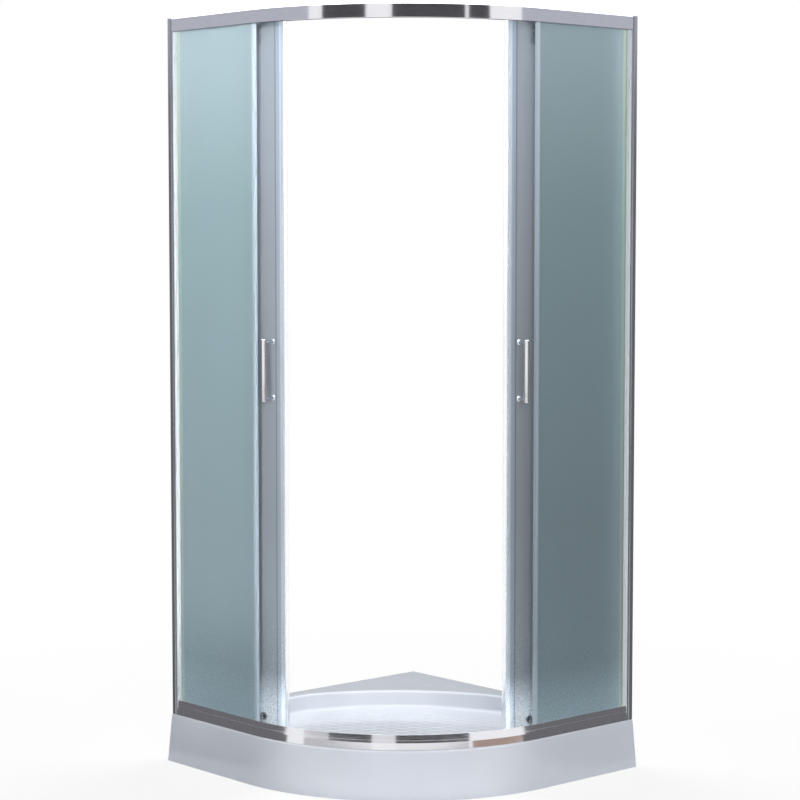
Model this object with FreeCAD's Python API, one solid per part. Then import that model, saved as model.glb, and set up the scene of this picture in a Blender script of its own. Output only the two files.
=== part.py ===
import FreeCAD, Part
import math
import os
from FreeCAD import Vector

# Quadrant shower enclosure: a low acrylic tray in a room corner, a bent aluminium rail
# above and below, two flat fixed panes at the walls and two curved panes that roll
# between them. Millimetres, +Z up. The origin is on the floor, at the middle of the
# square that the tray stands in. The walls are the planes x = -half and y = +half.

# ---------------------------------------------------------------- driving dimensions
side = 900.0                 # tray, along each wall
straight = 350.0             # straight run of the plan, from the wall to the bend
height = 2000.0              # floor to the top of the top rail

tray_height = 126.0          # floor to the tray's deck
tray_flare = 15.0            # the skirt leans out by this much from deck to floor
tray_wall = 5.0
tray_edge_radius = 6.0
basin_depth = 48.0
basin_front_margin = 88.0    # tray foot line to the basin
basin_wall_margin = 50.0     # wall to the basin
basin_draft = 16.0           # the basin's sides lean in by this much
corner_seat = 283.0          # back corner to the basin's round edge, along the diagonal
basin_back_radius = 600.0

rail_setback = 19.0          # tray foot line to the rails' outer face
rail_width = 48.0
top_rail_height = 36.0
bottom_rail_height = 30.0
bottom_web = 6.0             # bottom rail's outer wall, at its foot
bottom_band = 13.0           # its lower band leans back more than its upper band
bottom_band_lean = 2.6
bottom_face_lean = 1.9
rail_sheet = 2.0             # thickness of the rails' flat walls
web_sheet = 3.0              # outer visible wall of the top rail
slot_width = 12.0            # groove that takes the fixed pane
ledge_edge = 45.0            # roller ledge ends this far from the outer face
ledge_sheet = 3.0
ledge_lift = 8.0             # ledge's underside, above the top rail's lower edge
boss_depth = 3.0
boss_height = 7.0
boss_gap = 3.0               # the bottom boss lies this far under the rail's edge
lip_height = 8.0

channel_depth = 12.0         # wall channel, out from the wall
channel_width = 24.0
channel_sheet = 1.8
post_reach = 18.0            # wall to the post's front edge
post_clearance = 0.2
post_wall = 2.0
post_bottom = 6.0            # wall to the bottom of the post's glass groove
wall_hole_radius = 2.5
wall_hole_pitch = 800.0

glass = 5.0                  # every pane
fixed_inset = 9.0            # rails' outer face to the middle of a fixed pane
fixed_past_bend = 15.0       # a fixed pane runs on past the bend's start
pane_gap = 4.0               # a fixed pane's edge to the bottom of its grooves
gasket_reach = 14.0          # gasket's visible strip in front of the post
gasket_sheet = 1.2
strip_end_gap = 0.3          # gaskets and strips stop this far from the rails
edge_strip_width = 10.0
edge_strip_sheet = 1.5
edge_lip = 7.0

door_inset = 39.0            # rails' outer face to the middle of a closed curved pane
door_half_angle = 22.25
door_lead_open = 73.5        # an open door's leading edge past the bend's start
door_top_gap = 4.0           # below the roller ledge
door_bottom_gap = 16.0       # above the tray's deck
strip_width = 9.0            # magnet strip on the leading edge
strip_sheet = 1.2
strip_hold = 6.0
tail_lip = 10.0
closing_gap = 0.6            # each magnet strip to the middle plane

roller_angle = 13.5          # rollers, each side of a door's middle
wheel_radius = 10.0
wheel_width = 6.0
wheel_inset = 38.0
wheel_lift = 0.2
axle_radius = 3.0
axle_head_lip = 2.0          # axle head and nut, wider than the pin by these
axle_head = 2.0
axle_collar_lip = 1.5
axle_nut_lip = 2.5
axle_nut = 3.0
axle_tail = 4.0              # the pin runs out past the hanger
wheel_edge = 0.8
wheel_holes = 5
wheel_hole_radius = 1.3
wheel_hole_ring = 6.2
running_gap = 0.05
wheel_side_gap = 0.4
hanger_inset = 59.0
hanger_sheet = 3.0
hanger_width = 26.0
hanger_rise = 10.0           # above the axle
hanger_drop = 7.0            # from the pane's top edge to the step's top
hanger_tab = 46.0
bolt_radius = 3.0
bolt_clearance = 0.2
bolt_from_top = 12.0         # upper bolt, under the hanger's step
bolt_from_end = 10.0         # lower bolt, above the tab's end
bolt_head_lip = 2.5
bolt_head = 3.0
bolt_tail = 1.0
cap_radius = 8.0
cap_thickness = 3.0
tab_fit = 1.0                # tabs start this far inside the pane and are cut to it

glide_inset = 33.0
glide_pin_radius = 3.0
glide_width = 30.0
glide_plate = 6.0
glide_height = 34.0
glide_arm = 4.0
glide_arm_width = 14.0
glide_pin_gap = 2.0
glide_pin_edge = 0.5

handle_from_edge = 41.5      # leading edge to the handle's posts
handle_length = 145.0        # between the posts
handle_overhang = 6.0
handle_height = 1081.0       # floor to the handle's middle
handle_radius = 7.0
handle_post_radius = 4.5
handle_bevel = 2.0
handle_standoff = 48.0       # pane's middle to the bar's middle
handle_collar = 3.0          # collar on each post, at the pane
handle_cap_lip = 3.5
handle_cap = 6.0
handle_cap_edge = 1.5

drain_along = 130.0          # drain from the middle, along the diagonal, on each axis
drain_hole_radius = 45.0
drain_cover_radius = 56.0
drain_fit = 0.3
drain_bottom = 38.0
drain_wall = 3.5
drain_flange = 5.0
drain_flange_lip = 8.0
drain_lid = 5.0
drain_lid_edge = 3.0
drain_lid_gap = 4.0          # water runs in under the lid
drain_legs = 3
drain_leg_radius = 3.0
spigot_radius = 20.0
spigot_wall = 2.0
spigot_length = 30.0

tube = 25.0                  # square tube of the tray's carrying frame
tube_margin = 50.0           # wall to the tubes' ends
tube_long = 60.0             # middle of the tray to each long tube
tube_short = 250.0           # middle of the tray to the front tube
foot_from_end = 30.0         # tube's end to its foot
foot_radius = 22.0
foot_top_radius = 15.4
foot_thickness = 8.0
foot_rod_radius = 5.0
nut_radius = 9.0
nut_height = 8.0

stop_length = 12.0
stop_width = 16.0
stop_height = 16.0
stop_margin = 1.0            # from the ledge's edge
stop_gap = 0.5
clip_height = 18.0
clip_length = 14.0
clip_gap = 4.0               # from the strip on the pane's free edge
screw_radius = 2.0
screw_length = 34.0
screw_point_gap = 6.0        # the rails' holes are deeper than the screws by this
screw_head_radius = 3.0
screw_head = 1.6
screw_head_gap = 1.1
screw_start = 5.0            # wall to the screws' heads
screw_boss_step = 0.5
groove_wall = 1.0            # post's wall behind the pane's groove
channel_slack = 1.0          # cuts run out past the faces that they open

# ---------------------------------------------------------------- derived places
half = side / 2.0
bend_x = -half + straight                      # the bend's centre
bend_y = half - straight
foot_radius_of_bend = side - straight
rail_radius = foot_radius_of_bend - rail_setback
face_y = -half + rail_setback                  # outer face of the left rails
deck = tray_height
basin_floor = deck - basin_depth
door_radius = rail_radius - door_inset
lead_angle = door_half_angle + math.degrees(strip_width / door_radius)
door_x = bend_x + door_lead_open - door_radius * math.sin(math.radians(lead_angle))
door_y = (face_y + wheel_inset
          + (rail_radius - wheel_inset) * math.cos(math.radians(roller_angle)))
closing_angle = 45.0 - lead_angle - math.degrees(closing_gap / door_radius)
turn = math.radians(closing_angle)
pole_x = (door_x + bend_x) / 2.0 - (bend_y - door_y) / (2.0 * math.tan(turn / 2.0))
pole_y = (door_y + bend_y) / 2.0 + (bend_x - door_x) / (2.0 * math.tan(turn / 2.0))
ledge_under = height - top_rail_height + ledge_lift
ledge_top = ledge_under + ledge_sheet
wheel_z = ledge_top + wheel_lift + wheel_radius
door_top = ledge_under - door_top_gap
door_bottom = deck + door_bottom_gap
fixed_end = bend_x + fixed_past_bend
post_front = -half + post_reach


# ---------------------------------------------------------------- shared helpers
def plan_wire(front, wall, z):
    """Outline of the quadrant, inset from the tray's foot line and from the walls."""
    radius = foot_radius_of_bend - front
    low = -half + front
    high = half - front
    left = -half + wall
    back = half - wall
    a = Vector(left, low, z)
    b = Vector(bend_x, low, z)
    c = Vector(bend_x + radius * math.sin(math.pi / 4),
               bend_y - radius * math.cos(math.pi / 4), z)
    d = Vector(high, bend_y, z)
    e = Vector(high, back, z)
    f = Vector(left, back, z)
    return Part.Wire([Part.LineSegment(a, b).toShape(), Part.Arc(b, c, d).toShape(),
                      Part.LineSegment(d, e).toShape(), Part.LineSegment(e, f).toShape(),
                      Part.LineSegment(f, a).toShape()])


def plan_solid(front_low, front_high, wall_low, wall_high, z_low, z_high):
    """Solid between two outlines of the quadrant at two heights."""
    low = plan_wire(front_low, wall_low, z_low)
    high = plan_wire(front_high, wall_high, z_high)
    return Part.makeLoft([low, high], True, True)


def box(x_low, x_high, y_low, y_high, z_low, z_high):
    """Box between two opposite corners."""
    return Part.makeBox(x_high - x_low, y_high - y_low, z_high - z_low,
                        Vector(x_low, y_low, z_low))


def rod(radius, start, end):
    """Cylinder from one point to another."""
    along = end - start
    return Part.makeCylinder(radius, along.Length, start, along)


def section_face(points, x):
    """Rail section at a station on the left straight: (inset, height) points."""
    corners = [Vector(x, face_y + inset, z) for inset, z in points]
    return Part.Face(Part.makePolygon(corners + corners[:1]))


def rail(points):
    """Rail of one section: straight run, quarter bend, straight run."""
    run = bend_x - post_front
    left = section_face(points, post_front).extrude(Vector(run, 0, 0))
    centre = Vector(bend_x, bend_y, 0)
    bend = section_face(points, bend_x).revolve(centre, Vector(0, 0, 1), 90.0)
    whole = left.fuse([bend, mirrored(left)])
    return whole.removeSplitter()


def mirrored(shape):
    """The same piece on the other side of the diagonal."""
    return shape.mirror(Vector(0, 0, 0), Vector(1, 1, 0))


def band(r_low, r_high, a_low, a_high, z_low, z_high):
    """Curved slab about the open left door's centre; angles from -Y towards +X."""
    def at(radius, angle):
        turned = math.radians(angle)
        return Vector(door_x + radius * math.sin(turned),
                      door_y - radius * math.cos(turned), z_low)
    a_mid = (a_low + a_high) / 2.0
    outer = Part.Arc(at(r_high, a_low), at(r_high, a_mid), at(r_high, a_high)).toShape()
    inner = Part.Arc(at(r_low, a_high), at(r_low, a_mid), at(r_low, a_low)).toShape()
    end = Part.LineSegment(at(r_high, a_high), at(r_low, a_high)).toShape()
    start = Part.LineSegment(at(r_low, a_low), at(r_high, a_low)).toShape()
    face = Part.Face(Part.Wire([outer, end, inner, start]))
    return face.extrude(Vector(0, 0, z_high - z_low))


def on_door(shape, angle):
    """Turn a piece drawn at the door's middle to its angle on the open left door."""
    placed = shape.copy()
    placed.rotate(Vector(door_x, door_y, 0), Vector(0, 0, 1), angle)
    return placed


def door_box(inset_low, inset_high, width, z_low, z_high):
    """Box at the door's middle, between two insets from the rails' outer face."""
    y_low = door_y - (rail_radius - inset_low)
    y_high = door_y - (rail_radius - inset_high)
    return box(door_x - width / 2, door_x + width / 2, y_low, y_high, z_low, z_high)


def pane_space(z_low, z_high):
    """Space of a curved pane, and outside it, about the door's middle."""
    return band(door_radius - glass / 2, door_radius + glass, -roller_angle, roller_angle,
                z_low, z_high)


def door_rod(radius, inset_low, inset_high, z):
    """Radial rod at the door's middle, between two insets."""
    start = Vector(door_x, door_y - (rail_radius - inset_low), z)
    end = Vector(door_x, door_y - (rail_radius - inset_high), z)
    return rod(radius, start, end)


def arc_degrees(length):
    """Angle of a length measured along a curved pane."""
    return math.degrees(length / door_radius)


def save(name, solids):
    """Write one piece, or a group of like pieces, under its name."""
    flat = []
    for solid in solids:
        flat.extend(solid.Solids)
    for solid in flat:
        assert solid.isValid() and solid.Volume > 0, name
    shape = flat[0] if len(flat) == 1 else Part.makeCompound(flat)
    shape.exportStep("parts/" + name + ".step")
    print(name, len(flat), round(shape.Volume / 1000.0, 1), "cm3")


def save_pair(name, solids):
    """Write a left piece and its mirror image on the right."""
    save("left_" + name, solids)
    save("right_" + name, [mirrored(s) for s in solids])


# ---------------------------------------------------------------- tray
def basin(grow):
    """The basin's hollow, grown outwards and downwards by a wall's thickness."""
    floor = basin_floor - grow
    front = basin_front_margin - grow
    wall = basin_wall_margin - grow
    lean = basin_draft
    prism = plan_solid(front + lean, front, wall + lean, wall, floor, deck)
    middle = (-half + (corner_seat + basin_back_radius) / math.sqrt(2.0))
    radius = basin_back_radius + grow
    cone = Part.makeCone(radius - lean, radius, deck - floor,
                         Vector(middle, -middle, floor))
    return prism.common(cone)


def tray():
    """Acrylic shell: skirt, deck and basin, open underneath."""
    outer = plan_solid(0, tray_flare, 0, 0, 0, deck)
    top_edges = [e for e in outer.Edges
                 if all(abs(v.Point.z - deck) < 0.01 for v in e.Vertexes)
                 and e.CenterOfMass.x + half > 1.0 and half - e.CenterOfMass.y > 1.0]
    outer = outer.makeFillet(tray_edge_radius, top_edges)
    under = plan_solid(tray_wall, tray_flare + tray_wall, tray_wall, tray_wall,
                       0, deck - tray_wall)
    shell = outer.cut(under)
    bowl = basin(tray_wall).common(plan_solid(tray_flare, tray_flare, 0, 0, 0,
                                              deck - tray_wall / 2))
    shell = shell.fuse(bowl)
    shell = shell.cut(basin(0.0))
    hole = Part.makeCylinder(drain_hole_radius, basin_depth,
                             Vector(drain_along, -drain_along,
                                    basin_floor - basin_depth / 2))
    return shell.cut(hole).removeSplitter()


def tray_frame():
    """Welded square tubes that carry the basin's floor."""
    top = basin_floor - tray_wall
    low = top - tube
    reach = half - tube_margin
    long_x = box(-reach, reach, tube_long - tube / 2, tube_long + tube / 2, low, top)
    short_x = box(-reach, tube_short, -tube_short - tube / 2, -tube_short + tube / 2,
                  low, top)
    return long_x.fuse([mirrored(long_x), short_x]).removeSplitter()


def tray_feet():
    """Screwed feet under the frame."""
    top = basin_floor - tray_wall - tube
    reach = half - tube_margin - foot_from_end
    places = ((-reach, tube_long), (reach, tube_long), (-tube_long, reach),
              (-tube_long, -reach), (-tube_long, tube_long), (-reach, -tube_short),
              (tube_short - foot_from_end, -tube_short))
    feet = []
    for x, y in places:
        pad = Part.makeCone(foot_radius, foot_top_radius, foot_thickness, Vector(x, y, 0))
        stem = rod(foot_rod_radius, Vector(x, y, foot_thickness), Vector(x, y, top))
        nut = rod(nut_radius, Vector(x, y, top - nut_height), Vector(x, y, top))
        feet.append(pad.fuse([stem, nut]).removeSplitter())
    return feet


def drain_rod(radius, low, high, out=0.0, angle=0.0):
    """Upright round at the drain, or out from its axis at an angle."""
    x = drain_along + out * math.cos(math.radians(angle))
    y = -drain_along + out * math.sin(math.radians(angle))
    return rod(radius, Vector(x, y, low), Vector(x, y, high))


def drain_body():
    """Waste cup under the basin's hole, with its outlet spigot below."""
    under = basin_floor - tray_wall
    cup_radius = drain_hole_radius - drain_fit
    outlet = drain_bottom - spigot_length
    inside = drain_bottom + drain_wall
    cup = drain_rod(cup_radius, drain_bottom, basin_floor)
    flange = drain_rod(cup_radius + drain_flange_lip, under - drain_flange, under)
    spigot = drain_rod(spigot_radius, outlet, inside)
    hollow = drain_rod(cup_radius - drain_wall, inside, basin_floor + drain_wall)
    bore = drain_rod(spigot_radius - spigot_wall, outlet - drain_wall, inside + drain_wall)
    return cup.fuse([flange, spigot]).cut(hollow).cut(bore).removeSplitter()


def drain_cover():
    """Bright lid that stands over the waste on short legs."""
    low = basin_floor + drain_lid_gap
    top = low + drain_lid
    lid = drain_rod(drain_cover_radius, low, top)
    lid = lid.makeFillet(drain_lid_edge, [e for e in lid.Edges
                                          if abs(e.CenterOfMass.z - top) < 0.01])
    ring = (drain_hole_radius + drain_cover_radius) / 2.0
    legs = [drain_rod(drain_leg_radius, basin_floor, low + drain_lid / 2, ring,
                      360.0 * index / drain_legs) for index in range(drain_legs)]
    return lid.fuse(legs).removeSplitter()


# ---------------------------------------------------------------- frame
def top_rail():
    """Top rail: visible web, glass groove and the ledge that the rollers run on."""
    inner = web_sheet + slot_width
    rib = inner + rail_sheet
    low = height - top_rail_height
    roof = height - rail_sheet
    boss_mid = height - top_rail_height / 2
    points = [(0, low), (0, height), (rail_width, height), (rail_width, roof),
              (rib, roof), (rib, boss_mid + boss_height / 2),
              (rib + boss_depth, boss_mid + boss_height / 2),
              (rib + boss_depth, boss_mid - boss_height / 2),
              (rib, boss_mid - boss_height / 2), (rib, ledge_top),
              (ledge_edge, ledge_top), (ledge_edge, ledge_under), (rib, ledge_under),
              (rib, low), (inner, low),
              (inner, roof), (web_sheet, roof), (web_sheet, low)]
    return rail(points)


def bottom_rail():
    """Bottom rail: visible web, glass groove, glide channel and inner lip."""
    inner = web_sheet + slot_width
    rib = inner + rail_sheet
    floor = deck + rail_sheet
    top = deck + bottom_rail_height
    boss_high = top - boss_gap
    boss_low = boss_high - boss_height
    points = [(0, deck), (bottom_band_lean, deck + bottom_band),
              (bottom_band_lean + bottom_face_lean, top), (bottom_web, top),
              (bottom_web, floor), (inner, floor), (inner, top), (rib, top),
              (rib, boss_high), (rib + boss_depth, boss_high),
              (rib + boss_depth, boss_low), (rib, boss_low), (rib, floor),
              (rail_width - rail_sheet, floor),
              (rail_width - rail_sheet, deck + lip_height),
              (rail_width, deck + lip_height), (rail_width, deck)]
    return rail(points)


screw_inset = web_sheet + slot_width + rail_sheet + boss_depth / 2 - screw_boss_step
screw_heights = (height - top_rail_height / 2,
                 deck + bottom_rail_height - boss_gap - boss_height / 2)


def screw_axis(z):
    """Start and direction of a screw that ties a post to a rail end."""
    return Vector(-half + screw_start, face_y + screw_inset, z)


def screw_holes(shape):
    """Cut the left screws' holes out of a piece."""
    for z in screw_heights:
        start = screw_axis(z)
        end = start + Vector(screw_length + screw_point_gap, 0, 0)
        shape = shape.cut(rod(screw_radius + running_gap, start, end))
    return shape


def both_sides_drilled(shape):
    """Cut the screw holes at both ends of a rail."""
    return mirrored(screw_holes(mirrored(screw_holes(shape))))


def wall_channel():
    """Channel screwed to the left wall, open towards the pane."""
    outer = box(-half, -half + channel_depth, face_y, face_y + channel_width, deck, height)
    inner = box(-half + channel_sheet, -half + channel_depth + channel_slack,
                face_y + channel_sheet, face_y + channel_width - channel_sheet,
                deck - channel_slack, height + channel_slack)
    shape = outer.cut(inner)
    middle = (deck + height) / 2
    for step in (-1, 0, 1):
        z = middle + step * wall_hole_pitch
        centre = Vector(-half - channel_slack, face_y + channel_width / 2, z)
        shape = shape.cut(rod(wall_hole_radius, centre,
                              centre + Vector(channel_sheet + 2 * channel_slack, 0, 0)))
    return shape


def post():
    """Upright that slides in the wall channel and grips the pane in its groove."""
    side_gap = channel_sheet + post_clearance
    outer = box(-half + channel_sheet + post_clearance, post_front, face_y + side_gap,
                face_y + channel_width - side_gap, deck, height)
    groove = box(-half + post_bottom, post_front + channel_slack,
                 face_y + side_gap + post_wall,
                 face_y + web_sheet + slot_width - groove_wall,
                 deck - channel_slack, height + channel_slack)
    pocket = box(-half + channel_sheet, -half + screw_start,
                 face_y + screw_inset - screw_head_radius - screw_head_gap,
                 face_y + channel_width, deck - channel_slack, height + channel_slack)
    return screw_holes(outer.cut(groove).cut(pocket))


def rail_screws():
    """Screws from the left post into the rails' bosses."""
    screws = []
    for z in screw_heights:
        start = screw_axis(z)
        head = rod(screw_head_radius, start - Vector(screw_head, 0, 0), start)
        shank = rod(screw_radius, start, start + Vector(screw_length, 0, 0))
        screws.append(head.fuse(shank).removeSplitter())
    return screws


pane_start = -half + post_bottom + pane_gap
pane_low = deck + rail_sheet + pane_gap
pane_high = height - rail_sheet - pane_gap
pane_out = fixed_inset - glass / 2
pane_in = fixed_inset + glass / 2
strip_low = deck + bottom_rail_height + strip_end_gap
strip_high = height - top_rail_height - strip_end_gap


def fixed_glass():
    """Flat pane beside the left wall."""
    return box(pane_start, fixed_end, face_y + pane_out, face_y + pane_in,
               pane_low, pane_high)


def glass_gasket():
    """Clear gasket round the pane's edge in the post's groove."""
    side_gap = channel_sheet + post_clearance + post_wall
    start = -half + post_bottom
    end = post_front + gasket_reach
    body = box(start, post_front, face_y + side_gap,
               face_y + web_sheet + slot_width - groove_wall, strip_low, strip_high)
    lips = box(post_front, end, face_y + pane_out - gasket_sheet,
               face_y + pane_in + gasket_sheet, strip_low, strip_high)
    hole = box(pane_start, end + channel_slack, face_y + pane_out, face_y + pane_in,
               pane_low, pane_high)
    return body.fuse(lips).cut(hole).removeSplitter()


def edge_strip():
    """Strip on the fixed pane's free edge, with a lip towards the door."""
    start = fixed_end - edge_strip_width + edge_strip_sheet
    outer = box(start, fixed_end + edge_strip_sheet, face_y + pane_out - edge_strip_sheet,
                face_y + pane_in + edge_strip_sheet, strip_low, strip_high)
    lip = box(start, start + edge_strip_sheet, face_y + pane_in,
              face_y + pane_in + edge_lip, strip_low, strip_high)
    hole = box(pane_start, fixed_end, face_y + pane_out, face_y + pane_in,
               pane_low, pane_high)
    return outer.fuse(lip).cut(hole).removeSplitter()


def edge_clips():
    """Small clips that hold the free corners of the left pane on the rails' inner webs."""
    end = fixed_end - edge_strip_width - clip_gap
    start = end - clip_length
    web_in = web_sheet + slot_width + rail_sheet
    bottom = deck + bottom_rail_height
    top = height - top_rail_height
    low_clip = box(start, end, face_y + pane_in, face_y + web_in, bottom,
                   bottom + clip_height)
    high_clip = box(start, end, face_y + pane_in, face_y + web_in, top - clip_height, top)
    return [low_clip, high_clip]


def rail_stop():
    """Rubber block on the roller ledge, where the tail roller stops."""
    wheel_x = (door_x - (rail_radius - wheel_inset) * math.sin(math.radians(roller_angle)))
    end = wheel_x - wheel_radius - wheel_width - stop_gap
    inner = face_y + ledge_edge - stop_margin
    return box(end - stop_length, end, inner - stop_width, inner,
               ledge_top, ledge_top + stop_height)


# ---------------------------------------------------------------- doors
def door_glass():
    """Curved pane with holes for its hanger bolts and its handle."""
    pane = band(door_radius - glass / 2, door_radius + glass / 2,
                -door_half_angle, door_half_angle, door_bottom, door_top)
    for angle in (-roller_angle, roller_angle):
        for z in hanger_bolt_heights():
            hole = door_rod(bolt_radius + bolt_clearance, door_inset - glass,
                            door_inset + glass, z)
            pane = pane.cut(on_door(hole, angle))
    for z in handle_post_heights():
        hole = door_rod(handle_post_radius + bolt_clearance, door_inset - glass,
                        door_inset + glass, z)
        pane = pane.cut(on_door(hole, handle_angle()))
    return pane


def magnet_strip():
    """Soft strip with a magnet core on the leading edge."""
    hold = arc_degrees(strip_hold)
    inner = door_radius - glass / 2
    outer = door_radius + glass / 2
    head = band(inner - strip_sheet, outer + strip_sheet, door_half_angle, lead_angle,
                door_bottom, door_top)
    near = band(inner - strip_sheet, inner, door_half_angle - hold, door_half_angle,
                door_bottom, door_top)
    far = band(outer, outer + strip_sheet, door_half_angle - hold, door_half_angle,
               door_bottom, door_top)
    return head.fuse([near, far]).removeSplitter()


def tail_seal():
    """Lip seal on the trailing edge, leaning out to the fixed pane's strip."""
    hold = arc_degrees(strip_hold)
    sheet = arc_degrees(strip_sheet)
    inner = door_radius - glass / 2
    outer = door_radius + glass / 2
    end = -door_half_angle
    lip = band(inner - strip_sheet, outer + tail_lip, end - sheet, end,
               door_bottom, door_top)
    near = band(inner - strip_sheet, inner, end, end + hold, door_bottom, door_top)
    far = band(outer, outer + strip_sheet, end, end + hold, door_bottom, door_top)
    return lip.fuse([near, far]).removeSplitter()


def handle_angle():
    """Angle of the handle's posts on the door."""
    return lead_angle - arc_degrees(handle_from_edge)


def handle_post_heights():
    """Heights of the handle's two posts."""
    return (handle_height - handle_length / 2, handle_height + handle_length / 2)


def handle():
    """Bow handle: a round bar on two posts that pass through the pane."""
    bar_inset = door_inset - handle_standoff
    y = door_y - (rail_radius - bar_inset)
    low, high = handle_post_heights()
    bottom = Vector(door_x, y, low - handle_overhang)
    top = Vector(door_x, y, high + handle_overhang)
    bar = rod(handle_radius, bottom, top)
    pieces = [Part.makeCone(handle_radius, handle_radius - handle_bevel, handle_bevel,
                            top, Vector(0, 0, 1)),
              Part.makeCone(handle_radius, handle_radius - handle_bevel, handle_bevel,
                            bottom, Vector(0, 0, -1))]
    for z in (low, high):
        pieces.append(door_rod(handle_post_radius, bar_inset, door_inset + glass / 2, z))
        pieces.append(door_rod(handle_post_radius + handle_collar,
                               door_inset - glass / 2 - handle_collar,
                               door_inset - glass / 2, z))
    return on_door(bar.fuse(pieces).removeSplitter(), handle_angle())


def handle_caps():
    """Round nuts behind the pane that hold the handle."""
    caps = []
    for z in handle_post_heights():
        cap = door_rod(handle_post_radius + handle_cap_lip, door_inset + glass / 2 - tab_fit,
                       door_inset + glass / 2 + handle_cap, z)
        cap = cap.makeFillet(handle_cap_edge,
                             [e for e in cap.Edges
                              if e.CenterOfMass.y > door_y - door_radius + glass])
        cap = cap.cut(pane_space(door_bottom, door_top))
        caps.append(on_door(cap, handle_angle()))
    return caps


step_top = door_top - hanger_drop


def hanger_bolt_heights():
    """Heights of a hanger's two bolts."""
    under = step_top - hanger_sheet
    return (under - hanger_tab + bolt_from_end, under - bolt_from_top)


def hanger():
    """Bent bracket from the pane's inner face, round the ledge, up to the axle."""
    back = door_inset + glass / 2
    tab = door_box(back - tab_fit, back + hanger_sheet, hanger_width,
                   step_top - hanger_sheet - hanger_tab, step_top)
    step = door_box(back, hanger_inset + hanger_sheet, hanger_width,
                    step_top - hanger_sheet, step_top)
    plate = door_box(hanger_inset, hanger_inset + hanger_sheet, hanger_width,
                     step_top - hanger_sheet, wheel_z + hanger_rise)
    shape = tab.fuse([step, plate]).cut(pane_space(door_bottom, door_top + hanger_drop))
    eye = door_rod(axle_radius + running_gap, hanger_inset - hanger_sheet,
                   hanger_inset + 2 * hanger_sheet, wheel_z)
    shape = shape.cut(eye)
    for z in hanger_bolt_heights():
        shape = shape.cut(door_rod(bolt_radius + bolt_clearance, back - hanger_sheet,
                                   back + 2 * hanger_sheet, z))
    return shape.removeSplitter()


def axle():
    """Stepped pin that carries a wheel and is nutted to its hanger."""
    wheel_out = wheel_inset - wheel_width / 2 - wheel_side_gap
    wheel_in = wheel_inset + wheel_width / 2 + wheel_side_gap
    plate_in = hanger_inset + hanger_sheet
    head = door_rod(axle_radius + axle_head_lip, wheel_out - axle_head, wheel_out, wheel_z)
    pin = door_rod(axle_radius, wheel_out, plate_in + axle_tail, wheel_z)
    collar = door_rod(axle_radius + axle_collar_lip, wheel_in, hanger_inset, wheel_z)
    nut = door_rod(axle_radius + axle_nut_lip, plate_in, plate_in + axle_nut, wheel_z)
    return head.fuse([pin, collar, nut]).removeSplitter()


def wheel():
    """Nylon wheel with a plain tread and a ring of lightening holes."""
    disc = door_rod(wheel_radius, wheel_inset - wheel_width / 2,
                    wheel_inset + wheel_width / 2, wheel_z)
    disc = disc.makeFillet(wheel_edge, [e for e in disc.Edges if len(e.Vertexes) == 1])
    disc = disc.cut(door_rod(axle_radius + running_gap, wheel_inset - wheel_width,
                             wheel_inset + wheel_width, wheel_z))
    for index in range(wheel_holes):
        hole = door_rod(wheel_hole_radius, wheel_inset - wheel_width,
                        wheel_inset + wheel_width, wheel_z + wheel_hole_ring)
        centre = Vector(door_x, door_y - (rail_radius - wheel_inset), wheel_z)
        hole.rotate(centre, Vector(0, 1, 0), 360.0 * index / wheel_holes)
        disc = disc.cut(hole)
    return disc


def hanger_bolts():
    """Bolts with round caps that clamp the pane to its hangers."""
    bolts = []
    front = door_inset - glass / 2
    back = door_inset + glass / 2
    for angle in (-roller_angle, roller_angle):
        for z in hanger_bolt_heights():
            cap = door_rod(cap_radius, front - cap_thickness, front, z)
            pin = door_rod(bolt_radius, front - cap_thickness / 2,
                           back + hanger_sheet + bolt_tail, z)
            head = door_rod(bolt_radius + bolt_head_lip, back + hanger_sheet,
                            back + hanger_sheet + bolt_head, z)
            bolts.append(on_door(cap.fuse([pin, head]).removeSplitter(), angle))
    return bolts


def glide():
    """Nylon shoe on the pane's lower edge, with a pin in the glide channel."""
    back = door_inset + glass / 2
    plate = door_box(back - tab_fit, back + glide_plate, glide_width,
                     door_bottom - glide_arm, door_bottom + glide_height)
    plate = plate.cut(pane_space(door_bottom, door_top))
    arm = door_box(glide_inset - glide_pin_radius - glide_pin_edge, back + tab_fit,
                   glide_arm_width, door_bottom - glide_arm, door_bottom)
    pin_y = door_y - (rail_radius - glide_inset)
    pin = rod(glide_pin_radius, Vector(door_x, pin_y, deck + rail_sheet + glide_pin_gap),
              Vector(door_x, pin_y, door_bottom - glide_arm / 2))
    return plate.fuse([arm, pin]).removeSplitter()


# ---------------------------------------------------------------- write every piece
os.makedirs("parts", exist_ok=True)

save("tray", [tray()])
save("tray_frame", [tray_frame()])
save("tray_feet", tray_feet())
save("drain_body", [drain_body()])
save("drain_cover", [drain_cover()])
save("bottom_rail", [both_sides_drilled(bottom_rail())])
save("top_rail", [both_sides_drilled(top_rail())])
save_pair("wall_channel", [wall_channel()])
save_pair("post", [post()])
left_screws = rail_screws()
save("rail_screws", left_screws + [mirrored(s) for s in left_screws])
save_pair("fixed_glass", [fixed_glass()])
save_pair("glass_gasket", [glass_gasket()])
save_pair("edge_strip", [edge_strip()])
left_clips = edge_clips()
save("edge_clips", left_clips + [mirrored(s) for s in left_clips])
left_stop = rail_stop()
save("rail_stops", [left_stop, mirrored(left_stop)])

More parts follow.
